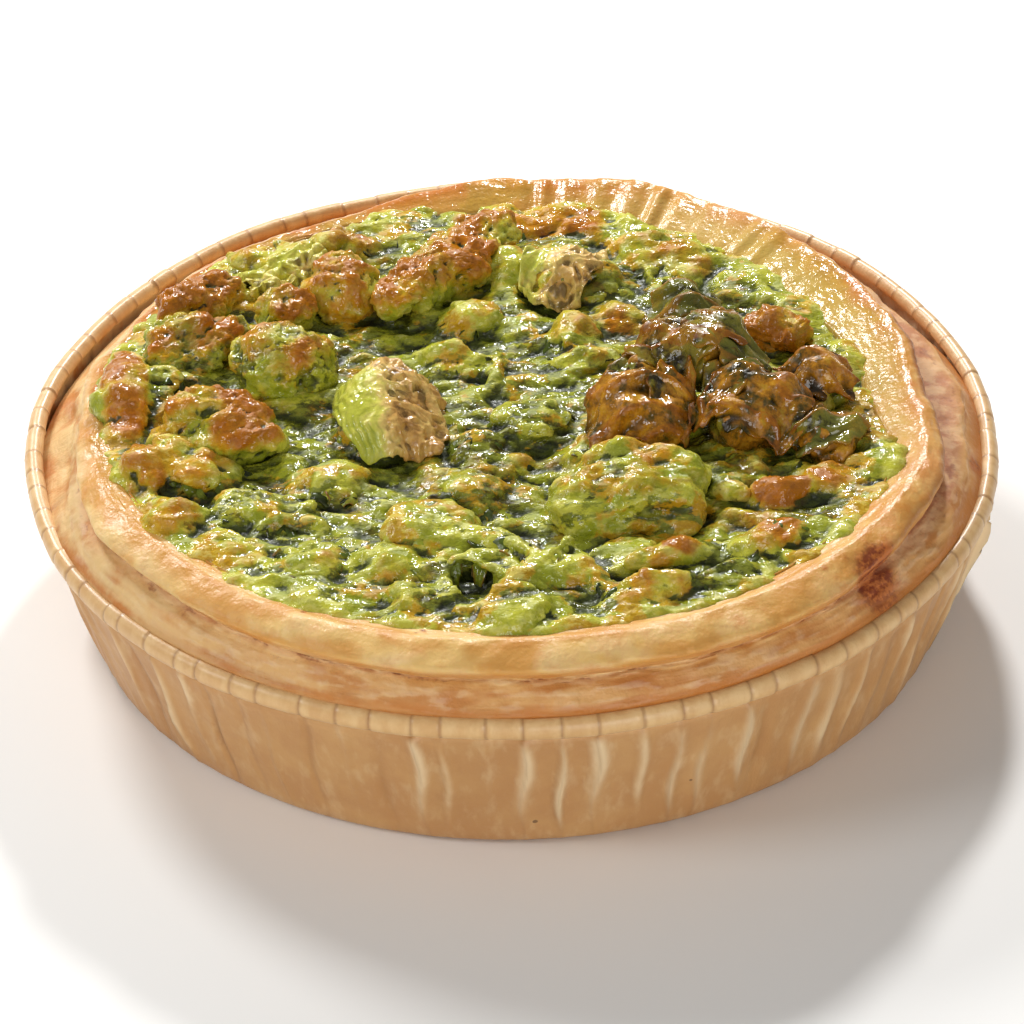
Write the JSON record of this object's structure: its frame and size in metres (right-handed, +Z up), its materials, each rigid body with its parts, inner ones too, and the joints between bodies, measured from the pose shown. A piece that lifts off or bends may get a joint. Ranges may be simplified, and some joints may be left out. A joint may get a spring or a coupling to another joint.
{
  "type": "spinach quiche",
  "caption": "One-person spinach quiche: a lobed pastry shell with a lumpy baked filling of egg and leaf, standing in its pleated paper baking case.",
  "frame": {"origin": "centre of the paper case's flat underside, where the quiche stands", "axes": "+Z up; -Y towards the side the picture looks from, +X to its right"},
  "size_m": [0.12, 0.12, 0.0377],
  "materials": {
    "baking_paper": "waxed",
    "pastry": "baked, egg-glazed",
    "egg_custard": "moist",
    "spinach_leaf": "moist",
    "browned_topping": "browned, moist"
  },
  "bodies": {
    "root": {"browned_nub": "browned_topping", "browned_tip_left": "browned_topping", "browned_tip_rear": "browned_topping", "custard_lobe_centre": "egg_custard", "floret_back": "browned_topping", "floret_left_front": "browned_topping", "floret_left_inner": "browned_topping", "floret_left_middle": "browned_topping", "floret_left_rear": "browned_topping", "leaf_cap": "spinach_leaf", "leaf_crinkled_rear": "spinach_leaf", "leaf_dark_back": "spinach_leaf", "leaf_dark_edge": "spinach_leaf", "leaf_golden_right": "spinach_leaf", "leaf_petal_left": "spinach_leaf", "leaf_petal_right": "spinach_leaf", "leaf_ribbed_rear_left": "spinach_leaf", "leaf_stalk_upright": "spinach_leaf", "paper_case": "baking_paper", "pastry_crust": "pastry", "spinach_filling": "egg_custard"}
  },
  "joints": []
}
